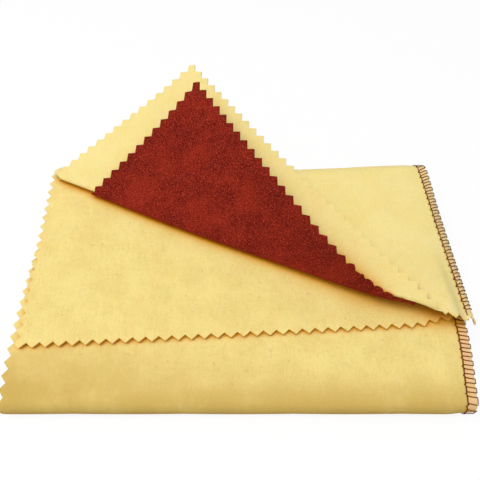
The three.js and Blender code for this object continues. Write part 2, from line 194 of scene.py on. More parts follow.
@dataclass(frozen=True)
class Drape:
    """How far the soft cloth strays from its plain folds.

    Attributes:
        sag: How far the top panel hangs low before the back fold.
        bow: How far the seam bows out beside the back fold.
        bow_reach: How far along the seam it does.
        pull: How far the seam is drawn in at the front fold.
        pull_reach: How far along the seam it is.
        crown: How far the middle panel bulges up behind the front fold.
        crown_reach: From that bulge to the front fold.
        crown_start: Where it begins and where it is full, past the front fold's start.
        lift: How far the turned corner lifts the plies behind the crease near the seam.
        lift_reach: How far behind the crease that lift reaches.
        arch: How much more the crease arches up before it reaches the free end.
        arch_back: How far that arch stands back.
        arch_place: The share of the crease before it.
        arch_reach: The share of the crease over which it falls off.
        gather: How far the lower cover's free end is drawn back beside the seam.
        gather_reach: How far along the cloth it is.
        gather_side: Where that begins and where it is full, from the cut edge.
        curl_reach: How far in from the cut edge the top panel's seam curls down.
        curl: How far it does so, in radians.
        end_curl: How much further it curls at the free end.
        end_tuck: How much nearer to the cut edge it does.
        end_reach: How far from the free end it does.
        curl_end: Where the curl fades and where it ends, past the back fold's start.
    """

    sag: float = 3.5 * MM
    bow: float = 2.0 * MM
    bow_reach: float = 40.0 * MM
    pull: float = 4.3 * MM
    pull_reach: float = 26.0 * MM
    crown: float = 3.0 * MM
    crown_reach: float = 34.0 * MM
    crown_start: tuple[float, float] = (-105.0 * MM, -45.0 * MM)
    lift: float = 3.5 * MM
    lift_reach: float = 26.0 * MM
    arch: float = 2.7 * MM
    arch_back: float = 0.8 * MM
    arch_place: float = 0.93
    arch_reach: float = 0.07
    gather: float = 2.5 * MM
    gather_reach: float = 14.0 * MM
    gather_side: tuple[float, float] = (27.0 * MM, 12.0 * MM)
    curl_reach: float = 6.0 * MM
    curl: float = math.radians(30)
    end_curl: float = math.radians(66)
    end_tuck: float = 2.8 * MM
    end_reach: float = 28.0 * MM
    curl_end: tuple[float, float] = (-25.0 * MM, 4.0 * MM)

    def sagged(self, across: Array, along: Array) -> Array:
        """How far the top panel hangs low, at shares of its width and of its length."""
        middle = smooth_step(across, 0.1, 0.45) * (1 - smooth_step(across, 0.65, 1.0))
        return self.sag * middle * smooth_step(along, 0.25, 1.0)

    def crowned(self, past_front: Array, roll: float) -> Array:
        """How far the middle panel bulges up at places past the front fold's start.

        Args:
            past_front: How far past it they lie; the middle panel lies before it.
            roll: The fold's length.

        Returns:
            The bulge at each place.
        """
        share = np.clip(past_front / self.crown_reach + 1, 0.0, 1.0)
        before = (1 - share**2) * smooth_step(past_front, *self.crown_start)
        turned = np.clip(past_front, 0.0, roll)
        return self.crown * (before - 2 * turned / self.crown_reach * (1 - turned / roll) ** 2)

    def drawn_back(self, cut: ClothCut, flat: Array) -> Array:
        """Draws the lower cover's free end back beside the seam.

        Args:
            cut: The flat cloth.
            flat: Points of the lower cover, as rows of u and v.

        Returns:
            The points, drawn back.
        """
        beside = smooth_step(flat[:, 0], *(cut.width - inside for inside in self.gather_side))
        near = hump(flat[:, 1], 0.0, self.gather_reach)
        return flat + np.outer(self.gather * beside * near, [0.0, 1.0])


@dataclass(frozen=True)
class FoldedShape:
    """Where each flat point of the cloth lies once the cloth is folded.

    Attributes:
        cut: The flat cloth.
        drape: How it strays from its plain folds.
        top_panel: From the free end to the back fold, on the pinked side.
        middle_panel: Between the two folds, on the pinked side.
        back_radius: Of the back fold, to the insert.
        front_radius: Of the front fold, to the insert.
        slant: Of the back fold across the flat cloth, in radians.
        turn: Of the back fold over the floor.
        rise: Of the top panel towards the back.
        middle_rise: Of the middle panel towards the back.
        middle_lean: How far the middle panel's weave is pulled askew.
        crease_before_fold: From where the crease leaves the pinked side to the back fold.
        crease_before_seam: From where it leaves the free end to the seam's cut edge.
    """

    cut: ClothCut = field(default_factory=ClothCut)
    drape: Drape = field(default_factory=Drape)
    top_panel: float = 99.0 * MM
    middle_panel: float = 118.4 * MM
    back_radius: float = 5.1 * MM
    front_radius: float = 2.9 * MM
    slant: float = math.radians(2.53)
    turn: float = math.radians(0.7)
    rise: float = math.radians(2.2)
    middle_rise: float = math.radians(1.0)
    middle_lean: float = math.radians(3.5)
    crease_before_fold: float = 0.6 * MM
    crease_before_seam: float = 12.0 * MM

    @property
    def back_length(self) -> float:
        """The insert's length round the back fold."""
        return self.back_radius * (math.pi + self.rise - self.middle_rise)

    @property
    def front_start(self) -> float:
        """Where the front fold begins along the cloth, on the pinked side."""
        return self.top_panel + self.back_length / math.cos(self.slant) + self.middle_panel

    @property
    def front_length(self) -> float:
        """The insert's length round the front fold."""
        return self.front_radius * (math.pi - self.middle_rise)

    @property
    def front_normal(self) -> Array:
        """The flat direction across the front fold."""
        slant = self.slant - self.turn
        return np.array([math.sin(slant), math.cos(slant)])

    @property
    def bottom_level(self) -> float:
        """How high the insert lies in the bottom panel."""
        return self.cut.pitch + self.cut.thickness / 2

    @property
    def fold_end(self) -> Array:
        """The left end of the back fold's axis."""
        front = self._on_middle(np.array([[0.0, self.front_start]]), 0.0)[0]
        bottom_panel = self.cut.length - self.front_start - self.front_length
        level = self.bottom_level + self.front_radius * (1 + math.cos(self.middle_rise))
        level += self.middle_panel * math.sin(self.middle_rise) + self.back_radius
        return np.array([-(self.cut.width + front[0]) / 2, -bottom_panel / 2 - front[1], level])

    @property
    def crease_start(self) -> Array:
        """Where the crease leaves the pinked side."""
        return np.array([0.0, self.top_panel - self.crease_before_fold])

    @property
    def crease_run(self) -> Array:
        """From the crease's start to where it leaves the free end."""
        end = np.array([self.cut.width - self.crease_before_seam, 0.0])
        return end - self.crease_start

    @property
    def crease_length(self) -> float:
        """The crease's length."""
        return float(np.linalg.norm(self.crease_run))

    @property
    def crease_axes(self) -> tuple[Array, Array]:
        """The flat directions along the crease and away from the corner."""
        along = self.crease_run / self.crease_length
        return along, np.array([-along[1], along[0]])

    def from_crease(self, flat: Array) -> tuple[Array, Array]:
        """Measures flat points from the crease.

        Args:
            flat: Points as rows of u and v.

        Returns:
            How far each lies along the crease, and how far on the corner's side of it.
        """
        along, away = self.crease_axes
        offset = flat - self.crease_start
        return offset @ along, -(offset @ away)

    def _beside_fold(self, flat: Array) -> tuple[Array, Array]:
        """How far flat points lie along the back fold and past its start."""
        c, s = math.cos(self.slant), math.sin(self.slant)
        u, v = flat[:, 0], flat[:, 1] - self.top_panel
        return u * c - v * s, u * s + v * c

    def _past_front(self, flat: Array) -> Array:
        """How far flat points lie past the front fold's start."""
        return (flat - [0.0, self.front_start]) @ self.front_normal

    def _curled(self, flat: Array, w: Array) -> tuple[Array, Array]:
        """Curls the top panel's seam down, as a bend of the flat cloth and its levels."""
        drape = self.drape
        at_end = np.exp(-np.maximum(flat[:, 1], 0) / drape.end_reach)
        reach = drape.curl_reach - drape.end_tuck * at_end
        start = self.cut.width - reach
        before_fold = 1 - smooth_step(self._beside_fold(flat)[1], *drape.curl_end)
        least = 1e-4  # keeps the bend's radius finite where the seam lies flat
        curl = (drape.curl + drape.end_curl * at_end) * before_fold + least
        radius = reach / curl
        turned = np.maximum(flat[:, 0] - start, 0.0) / radius
        bent = flat.copy()
        inside = turned > 0
        bent[inside, 0] = (start + (radius + w) * np.sin(turned))[inside]
        return bent, np.where(inside, (radius + w) * np.cos(turned) - radius, w)

    def _straight(self, along: Array, run: Array, heading: Array,
                  w: Array) -> Array:
        """Runs straight on from the back fold's roll, measured from the fold's left end."""
        reach = self.back_radius + w
        out = run * np.cos(heading) - reach * np.sin(heading)
        rise = run * np.sin(heading) + reach * np.cos(heading)
        c, s = math.cos(self.turn), math.sin(self.turn)
        return np.stack([along * c - out * s, along * s + out * c, rise], axis=-1)

    def _on_middle(self, flat: Array, w: Array) -> Array:
        """Places points of the middle panel, measured from the back fold's left end."""
        along, past = self._beside_fold(flat)
        run = past - self.back_length
        return self._straight(along + run * math.tan(self.middle_lean), run,
                              self.middle_rise - math.pi, w)

    def _strayed(self, flat: Array, past: Array) -> Array:
        """How far the drape moves points of the cloth.

        Args:
            flat: Points as rows of u and v.
            past: How far past the back fold's start they lie; 0 keeps them in the top panel.

        Returns:
            The moves, as rows of x, y and z.
        """
        drape = self.drape
        u, v = flat[:, 0] / self.cut.width, flat[:, 1]
        turned = np.clip(past / self.back_radius, 0.0, math.pi)
        down = drape.sagged(u, v / self.top_panel) * (1 + np.cos(turned)) / 2
        bow = drape.bow * hump(v, self.top_panel, drape.bow_reach)
        bow -= drape.pull * hump(v, self.front_start, drape.pull_reach)
        up = drape.crowned(self._past_front(flat), self.front_length) * (past > self.back_length)
        beside_seam = smooth_step(u, 0.72, 1.0)
        return np.stack([bow * beside_seam, np.zeros(len(u)), up - down], axis=-1)

    def on_top_panel(self, flat: Array, w: Array) -> Array:
        """Places points of the top panel and of what lies over it, at levels w."""
        place = self.fold_end + self._straight(*self._beside_fold(flat), self.rise, w)
        return place + self._strayed(flat, np.zeros(len(flat)))

    def on_cloth(self, flat: Array, w: Array) -> Array:
        """Places points of the folded cloth.

        Args:
            flat: Points as rows of u and v.
            w: Their levels.

        Returns:
            The places, as rows of x, y and z.
        """
        flat, w = self._curled(flat, w)
        along, past = self._beside_fold(flat)
        run = np.where(past < 0, past, np.maximum(past - self.back_length, 0.0))
        turned = np.clip(past, 0.0, self.back_length) / self.back_radius
        leaned = along + np.maximum(run, 0.0) * math.tan(self.middle_lean)
        place = self.fold_end + self._straight(leaned, run, self.rise - turned, w)
        past_front = self._past_front(flat)
        foot = self.fold_end + self._on_middle(flat - np.outer(past_front, self.front_normal), 0.0)
        heading = np.minimum(self.middle_rise - math.pi + past_front / self.front_radius, 0.0)
        reach = self.front_radius - w
        y = foot[:, 1] + self.front_radius * math.sin(self.middle_rise) + reach * np.sin(heading)
        y += np.maximum(past_front - self.front_length, 0.0)
        z = self.bottom_level + self.front_radius - reach * np.cos(heading)
        under = past_front > 0
        place[under] = np.stack([foot[:, 0], y, z], axis=-1)[under]
        return place + self._strayed(flat, past)

    def _raised(self, flat: Array) -> tuple[Array, Array]:
        """How far the turned corner moves the top panel's plies behind the crease.

        Args:
            flat: Points as rows of u and v.

        Returns:
            How far it lifts each point, and how far it draws it back.
        """
        drape, cut = self.drape, self.cut
        along, beyond = self.from_crease(flat)
        share = along / self.crease_length
        near = hump(np.minimum(beyond, 0.0), 0.0, drape.lift_reach)
        held = 1 - smooth_step(flat[:, 0], cut.width - self.crease_before_seam, cut.needle_line)
        arch = hump(share, drape.arch_place, drape.arch_reach)
        lift = drape.lift * smooth_step(share, 0.45, 1.0) + drape.arch * arch
        return lift * near * held, drape.arch_back * arch * near

    def on_turned(self, flat: Array, w: Array, turn: CornerTurn) -> Array:
        """Places points of a ply whose corner is turned back.

        Args:
            flat: Points as rows of u and v.
            w: Their levels.
            turn: How the ply's corner is turned back.

        Returns:
            The places, as rows of x, y and z.
        """
        along, beyond = self.from_crease(flat)
        beyond = beyond * np.where(beyond > 0, 1 + turn.stretch, 1.0)
        share = along / self.crease_length
        direction, away = self.crease_axes
        tilt = turn.tilt(share)
        roll = turn.radius * (math.pi - tilt)
        turned = beyond / turn.radius
        heading = tilt + turn.curl * (beyond - roll)
        bend = 1 / turn.curl
        in_roll = beyond < roll
        out = np.where(in_roll, -turn.radius * np.sin(turned),
                       -turn.radius * np.sin(tilt) + bend * (np.sin(heading) - np.sin(tilt)))
        up = np.where(in_roll, turn.radius * (1 - np.cos(turned)),
                      turn.radius * (1 + np.cos(tilt)) - bend * (np.cos(heading) - np.cos(tilt)))
        normal_out = np.where(in_roll, np.sin(turned), np.sin(heading))
        normal_up = np.where(in_roll, np.cos(turned), -np.cos(heading))
        offset = w - turn.level + turn.puckered(share, beyond)
        lift, back = self._raised(flat)
        skewed = along + turn.skew * np.maximum(beyond - roll, 0.0)
        base = self.crease_start + np.outer(skewed, direction)
        base += np.outer(out + offset * normal_out, away)
        corner = self.on_top_panel(base, turn.level + up + offset * normal_up + lift)
        rest = self.on_cloth(flat, w + np.where(self._beside_fold(flat)[1] < 0, lift, 0.0))
        return np.where((beyond > 0)[:, None], corner, rest) + np.outer(back, [0.0, 1.0, 0.0])


@dataclass(frozen=True)
class Pinking:
    """The zigzag that pinking shears leave.

    Attributes:
        pitch: From one tooth to the next.
        depth: From the notches to the tips.
        parts: Into how many parts each flank of a tooth is divided.
    """

    pitch: float = 5.72 * MM
    depth: float = 2.4 * MM
    parts: int = 3


@dataclass
class PlyDrawing:
    """A ply drawn flat.

    Attributes:
        cut: The flat cloth.
        pinking: The zigzag of its cut edges.
        side_margin: How far the ply stays inside the covers at the pinked side.
        end_margin: The same at its two ends.
        grain: The distance between the points of its mesh.
        turned: Whether its corner is turned back, which takes finer points at the crease.
        band: How far before and beyond the crease those lie.
        band_grain: The distance between them, across and along the crease.
    """

    cut: ClothCut
    pinking: Pinking
    side_margin: float = 0.0
    end_margin: float = 0.0
    grain: float = 1.7 * MM
    turned: bool = False
    band: tuple[float, float] = (-2.5 * MM, 10.0 * MM)
    band_grain: tuple[float, float] = (0.6 * MM, 1.2 * MM)

    def _teeth(self, start: Array, end: Array, outward: Array) -> list[Array]:
        """Points along a pinked side, from its first notch to its last."""
        count = round(float(np.linalg.norm(end - start)) / self.pinking.pitch)
        notches = [start + (end - start) * (i + 0.5) / count for i in range(count)]
        points = []
        for here, there in zip(notches, notches[1:]):
            tip = (here + there) / 2 + outward * self.pinking.depth
            points += self._flank(here, tip) + self._flank(tip, there)
        return points + [notches[-1]]

    def _flank(self, here: Array, there: Array) -> list[Array]:
        """Points along one flank of a tooth, without its end."""
        parts = self.pinking.parts
        return [here + (there - here) * i / parts for i in range(parts)]

    def outline(self) -> Array:
        """The ply's outline, anticlockwise from the front of its seam edge.

        Returns:
            The outline's points, as rows of u and v.
        """
        depth = self.pinking.depth
        left, front = self.side_margin + depth, self.end_margin + depth
        right, back = self.cut.width, self.cut.length - self.end_margin - depth
        seam_steps = round((back - front) / self.grain)
        points = [np.array([right, front - depth + (back - front + 2 * depth) * i / seam_steps])
                  for i in range(seam_steps + 1)]
        corners = np.array([(right, back), (left, back), (left, front), (right, front)])
        outwards = np.array([(0.0, 1.0), (-1.0, 0.0), (0.0, -1.0)])
        sides = [self._teeth(a, b, out) for a, b, out in zip(corners, corners[1:], outwards)]
        points += self._flank(points[-1], sides[0][0])[1:]
        for i, side in enumerate(sides):
            points += side
            if i < 2:
                # A corner's tooth is cut square, with a tip straight out from each side.
                tips = [corners[i + 1] + out * depth for out in outwards[i:i + 2]]
                for here, there in zip([side[-1], *tips], [*tips, sides[i + 1][0]]):
                    points += self._flank(here, there)[here is side[-1]:]
        points += self._flank(sides[-1][-1], points[0])[1:]
        return np.array(points)

    def _inner_points(self, shape: FoldedShape) -> Array:
        """Points inside the body: a grid of triangles, and rows along the crease."""
        depth = self.pinking.depth
        low = np.array([self.side_margin, self.end_margin]) + depth + 0.4 * self.grain
        back = self.cut.length - self.end_margin - depth
        high = np.array([self.cut.width - 0.6 * self.grain, back])
        rows = []
        v = low[1]
        while v < high[1]:
            odd = len(rows) % 2
            u = np.arange(low[0] + odd * self.grain / 2, high[0], self.grain)
            rows.append(np.stack([u, np.full_like(u, v)], axis=-1))
            v += self.grain * math.sqrt(3) / 2
        grid = np.concatenate(rows)
        if not self.turned:
            return grid
        before, after = self.band
        _, beyond = shape.from_crease(grid)
        grid = grid[(beyond < before) | (beyond > after)]
        direction, away = shape.crease_axes
        inset, overrun = 0.3 * MM, 5 * MM
        across = np.arange(before + inset, after - inset, self.band_grain[0])
        along = np.arange(-overrun, shape.crease_length + overrun, self.band_grain[1])
        along, across = (places.ravel() for places in np.meshgrid(along, across))
        band = shape.crease_start + np.outer(along, direction) - np.outer(across, away)
        inside = (band > low).all(axis=1) & (band < high).all(axis=1)
        return np.concatenate([grid, band[inside]])

    def mesh(self, shape: FoldedShape) -> tuple[Array, Array]:
        """Divides the flat ply into triangles.

        Args:
            shape: The folded cloth, whose crease takes finer points.

        Returns:
            The points and the triangles.
        """
        outline = self.outline()
        points = [Vector(p) for p in np.concatenate([outline, self._inner_points(shape)])]
        loop = list(range(len(outline)))
        edges = [(i, (i + 1) % len(loop)) for i in loop]
        only_inside, nearest = 1, 1e-7
        flat, _, faces, *_ = delaunay_2d_cdt(points, edges, [loop], only_inside, nearest)
        return np.array([tuple(p) for p in flat]), np.array(faces)


@dataclass
class ClothPiece:
    """A ply's solid, made from its drawing.

    Attributes:
        name: The piece's name.
        drawing: The flat ply.
        shape: The folded cloth.
        order: 1 for the upper cover, 0 for the insert and -1 for the lower cover.
        turn: How its corner is turned back, if it is.
    """

    name: str
    drawing: PlyDrawing
    shape: FoldedShape
    order: int
    turn: CornerTurn | None = None

    def _place(self, flat: Array, w: Array) -> Array:
        """Places flat points of this ply, w from its middle."""
        level = self.shape.cut.level(self.order, flat[:, 0]) + w
        if self.turn is None:
            return self.shape.on_cloth(self.shape.drape.drawn_back(self.shape.cut, flat), level)
        return self.shape.on_turned(flat, level, self.turn)

    def build(self) -> bpy.types.Object:
        """Makes the ply's closed mesh, with its cloth coordinates as its UV map.

        Returns:
            The piece.
        """
        flat, faces = self.drawing.mesh(self.shape)
        half = self.shape.cut.thickness / 2
        count = len(flat)
        vertices = np.concatenate([self._place(flat, np.full(count, w)) for w in (half, -half)])
        rim: dict[tuple[int, int], tuple[int, int]] = {}
        for a, b, c in faces.tolist():
            for edge in ((a, b), (b, c), (c, a)):
                # An edge that a second triangle has too isn't on the rim.
                if rim.pop((min(edge), max(edge)), None) is None:
                    rim[min(edge), max(edge)] = edge
        polygons = [tuple(face) for face in faces.tolist()]
        polygons += [tuple(count + i for i in reversed(face)) for face in faces.tolist()]
        polygons += [(b, a, count + a, count + b) for a, b in rim.values()]
        piece = put_mesh(self.name, vertices, polygons)
        mesh = piece.data
        uv = mesh.uv_layers.new(name="cloth")
        loops = np.empty(len(mesh.loops), dtype=np.int32)
        mesh.loops.foreach_get("vertex_index", loops)
        uv.data.foreach_set("uv", flat[loops % count].astype(np.float32).ravel() / CM)
        mesh.set_sharp_from_angle(angle=math.radians(50))
        return piece


class Nodes:
    """Adds nodes to a material or a world and joins them."""

    def __init__(self, owner: NodeOwner) -> None:
        """Starts an empty node tree."""
        self.owner = owner
        owner.use_nodes = True
        self.tree = owner.node_tree
        self.tree.nodes.clear()

    def add(self, kind: str, inputs: dict | None = None, **settings: object) -> bpy.types.Node:
        """Adds a node.

        Args:
            kind: Its type, without the leading ShaderNode.
            inputs: Values or sockets for its inputs, by name or index.
            **settings: Its own settings.

        Returns:
            The node.
        """
        node = self.tree.nodes.new("ShaderNode" + kind)
        for key, value in settings.items():
            setattr(node, key, value)
        for key, value in (inputs or {}).items():
            if isinstance(value, Socket):
                self.tree.links.new(value, node.inputs[key])
            else:
                node.inputs[key].default_value = value
        return node

    def math(self, operation: str, a: object, b: object = 0.0) -> Socket:
        """Adds an operation on two values and returns its result."""
        return self.add("Math", {0: a, 1: b}, operation=operation).outputs[0]

    def times(self, a: object, b: object) -> Socket:
        """Adds a product of two values and returns its result."""
        return self.math("MULTIPLY", a, b)

    def noise(self, place: Socket, scale: float, **inputs: float) -> Socket:
        """Adds a soft noise and returns its height."""
        return self.add("TexNoise", {"Vector": place, "Scale": scale, **inputs}).outputs[0]

    def mix(self, share: object, a: object, b: object) -> Socket:
        """Adds a mix of two colours and returns its result."""
        return self.add("Mix", {0: share, 6: a, 7: b}, data_type="RGBA").outputs[2]

    def ramp(self, value: object, low: float, high: float) -> Socket:
        """Adds a rise from 0 at low to 1 at high and returns its result."""
        node = self.add("MapRange", {0: value, 1: low, 2: high}, interpolation_type="SMOOTHSTEP")
        return node.outputs[0]

    def backdrop_rays(self) -> Socket:
        """Adds a mask of the rays that are shown the white backdrop and returns it."""
        rays = self.add("LightPath").outputs
        mask = self.math("MAXIMUM", rays["Is Camera Ray"], rays["Is Glossy Ray"])
        return self.math("MAXIMUM", mask, rays["Is Transmission Ray"])

    def finish(self, shader: bpy.types.Node, output: str = "OutputMaterial") -> NodeOwner:
        """Joins the shader to the output and returns what owns the nodes."""
        self.add(output, {0: shader.outputs[0]})
        return self.owner


def linear(red: int, green: int, blue: int) -> Colour:
    """Turns a screen colour, from 0 to 255, into a linear one with full alpha."""
    share = np.array([red, green, blue]) / 255
    light = np.where(share <= 0.04045, share / 12.92, ((share + 0.055) / 1.055) ** 2.4)
    return (*light.tolist(), 1.0)


@dataclass(frozen=True)
class FlannelFinish:
    """Napped cotton flannel.

    Attributes:
        name: The material's name.
        colour: Its main colour.
        light: The colour of its raised fibres.
        deep: The colour between them.
        crease: The colour painted where other cloth lies near, standing in for the warm shade and
            bounced light in a crease.
        seam_tint: The colour that the seam's threads lend the cloth between them.
        glow_tint: How far light of each colour spreads inside the cloth, against the first.
        nap: How deep the nap is.
        fineness: How many fibres of the nap lie along a centimetre.
        tufts: How many of its soft tufts do.
        patches: How many patches of differing nap do.
        slubs: How many uneven yarns lie along a centimetre, and how often each of them swells.
        yarn: From one yarn of the weave to the next.
        speckle: The share of light that the raised fibres show.
        mottle: The share of deeper colour where the nap lies the other way.
        rubbed: The share of light that it shows where it has been rubbed up.
        glow: The share of light that goes through the cloth.
        glow_reach: How far it spreads.
        sheen: How strongly its fibres catch light at the edges.
        crease_paint_reach: How near other cloth must lie for that painted crease shade and bounced
            light.
        painted_shade_fold: Where along the cloth the fold lies whose roll is darkened with painted
            shade, on the pinked side.
        fold_slant: How that fold slants across the cloth.
    """

    name: str
    colour: Colour
    light: Colour
    deep: Colour
    crease: Colour
    seam_tint: Colour
    glow_tint: tuple[float, float, float]
    nap: float = 0.3 * MM
    fineness: float = 14.0
    tufts: float = 4.5
    patches: float = 0.55
    slubs: tuple[float, float] = (22.0, 1.3)
    yarn: float = 0.5 * MM
    speckle: float = 0.5
    mottle: float = 0.35
    rubbed: float = 0.1
    glow: float = 0.35
    glow_reach: float = 1.4 * MM
    sheen: float = 0.03
    crease_paint_reach: float = 14.0 * MM
    painted_shade_fold: float = 0.0
    fold_slant: float = 0.0

    def _weave(self, nodes: Nodes, place: Socket, u: Socket, v: Socket) -> Socket:
        """Adds the weave's height, from 0 to 1: warp and weft of uneven yarns."""
        uneven = nodes.times(nodes.noise(place, 1.6), 2.0)
        turns = 2 * math.pi * CM / self.yarn
        warp, weft = (nodes.math("SINE", nodes.math("ADD", nodes.times(along, count), uneven))
                      for along, count in ((u, turns), (v, turns * 0.85)))
        return nodes.ramp(nodes.math("MAXIMUM", warp, weft), -1.0, 1.0)

    def _painted_fold_shade(self, nodes: Nodes, u: Socket, v: Socket, patches: Socket) -> Socket:
        """Adds a mask of painted shade on the fold's roll: widest on the pinked side, and strongest
        on the fold.
        """
        before = nodes.math("ADD", v, nodes.times(u, math.tan(self.fold_slant)))
        fold = self.painted_shade_fold / CM
        wide = nodes.times(nodes.ramp(before, fold - 3.4, fold), nodes.ramp(u, 17.0, -5.0))
        strong = nodes.times(nodes.ramp(before, fold - 1.3, fold + 0.6), 0.9)
        return nodes.times(nodes.math("MAXIMUM", wide, strong), nodes.ramp(patches, -0.2, 0.6))

    def build(self, cut: ClothCut) -> bpy.types.Material:
        """Makes the material. Its map gives u and v in centimetres.

        Args:
            cut: The flat cloth, whose seam is tinted.

        Returns:
            The material.
        """
        nodes = Nodes(bpy.data.materials.new(self.name))
        place = nodes.add("UVMap", uv_map="cloth").outputs[0]
        u, v, _ = nodes.add("SeparateXYZ", {0: place}).outputs
        fibres = nodes.noise(place, self.fineness, Detail=5.0, Roughness=0.75, Distortion=0.8)
        tufts = nodes.noise(place, self.tufts, Detail=3.0, Roughness=0.6)
        patches = nodes.noise(place, self.patches, Detail=5.0, Roughness=0.72)
        slubs = nodes.add("Mapping", {0: place, 3: (*self.slubs, 1.0)}).outputs[0]
        slubs = nodes.noise(slubs, 1.0, Detail=2.0)
        colour = self.colour
        for mask, share, tone in (
            (nodes.ramp(patches, 0.35, 0.65), self.mottle, self.deep),
            (nodes.ramp(slubs, 0.5, 0.75), self.mottle, self.deep),
            (nodes.ramp(patches, 0.6, 0.25), self.rubbed, self.light),
            (nodes.ramp(tufts, 0.4, 0.25), 0.5, self.deep),
            (nodes.ramp(fibres, 0.47, 0.64), self.speckle, self.light),
        ):
            colour = nodes.mix(nodes.times(mask, share), colour, tone)
        # Painted shade: the deep colour darkens the cloth on and before the fold's roll.
        if self.painted_shade_fold:
            colour = nodes.mix(self._painted_fold_shade(nodes, u, v, patches), colour, self.deep)
        line = cut.needle_line / CM
        in_seam = nodes.ramp(u, line - 0.02, line + 0.06)
        tinted = nodes.times(in_seam, nodes.ramp(patches, 0.1, 0.6))
        colour = nodes.mix(tinted, colour, self.seam_tint)
        # Painted shade and bounced light: where ambient occlusion finds other cloth near, the
        # colour turns to the crease colour.
        openness = nodes.add("AmbientOcclusion", {"Distance": self.crease_paint_reach}, samples=8)
        colour = nodes.mix(nodes.ramp(openness.outputs["AO"], 0.86, 0.3), colour, self.crease)
        nap = nodes.math("ADD", nodes.times(fibres, 0.65), nodes.times(tufts, 0.35))
        relief = nodes.math("ADD", nap, nodes.times(self._weave(nodes, place, u, v), 0.16))
        bump = nodes.add("Bump", {"Strength": 0.8, "Distance": self.nap, "Height": relief})
        return nodes.finish(nodes.add("BsdfPrincipled", {
            "Base Color": colour, "Normal": bump.outputs[0], "Roughness": 0.95,
            "Specular IOR Level": 0.1, "Subsurface Weight": self.glow,
            "Subsurface Scale": self.glow_reach, "Subsurface Radius": self.glow_tint,
            "Sheen Weight": self.sheen, "Sheen Roughness": 0.6, "Sheen Tint": self.light}))


@dataclass(frozen=True)
class ThreadFinish:
    """Spun sewing thread.

    Attributes:
        name: The material's name.
        colour: Its main colour.
        light: The colour of its twist.
    """

    name: str
    colour: Colour
    light: Colour

    def build(self) -> bpy.types.Material:
        """Makes the material."""
        nodes = Nodes(bpy.data.materials.new(self.name))
        twist = nodes.noise(nodes.add("TexCoord").outputs["Object"], 2500.0, Detail=3.0)
        colour = nodes.mix(nodes.ramp(twist, 0.4, 0.65), self.colour, self.light)
        bump = nodes.add("Bump", {"Strength": 0.6, "Distance": 0.05 * MM, "Height": twist})
        return nodes.finish(nodes.add("BsdfPrincipled", {
            "Base Color": colour, "Normal": bump.outputs[0], "Roughness": 0.8,
            "Specular IOR Level": 0.2}))


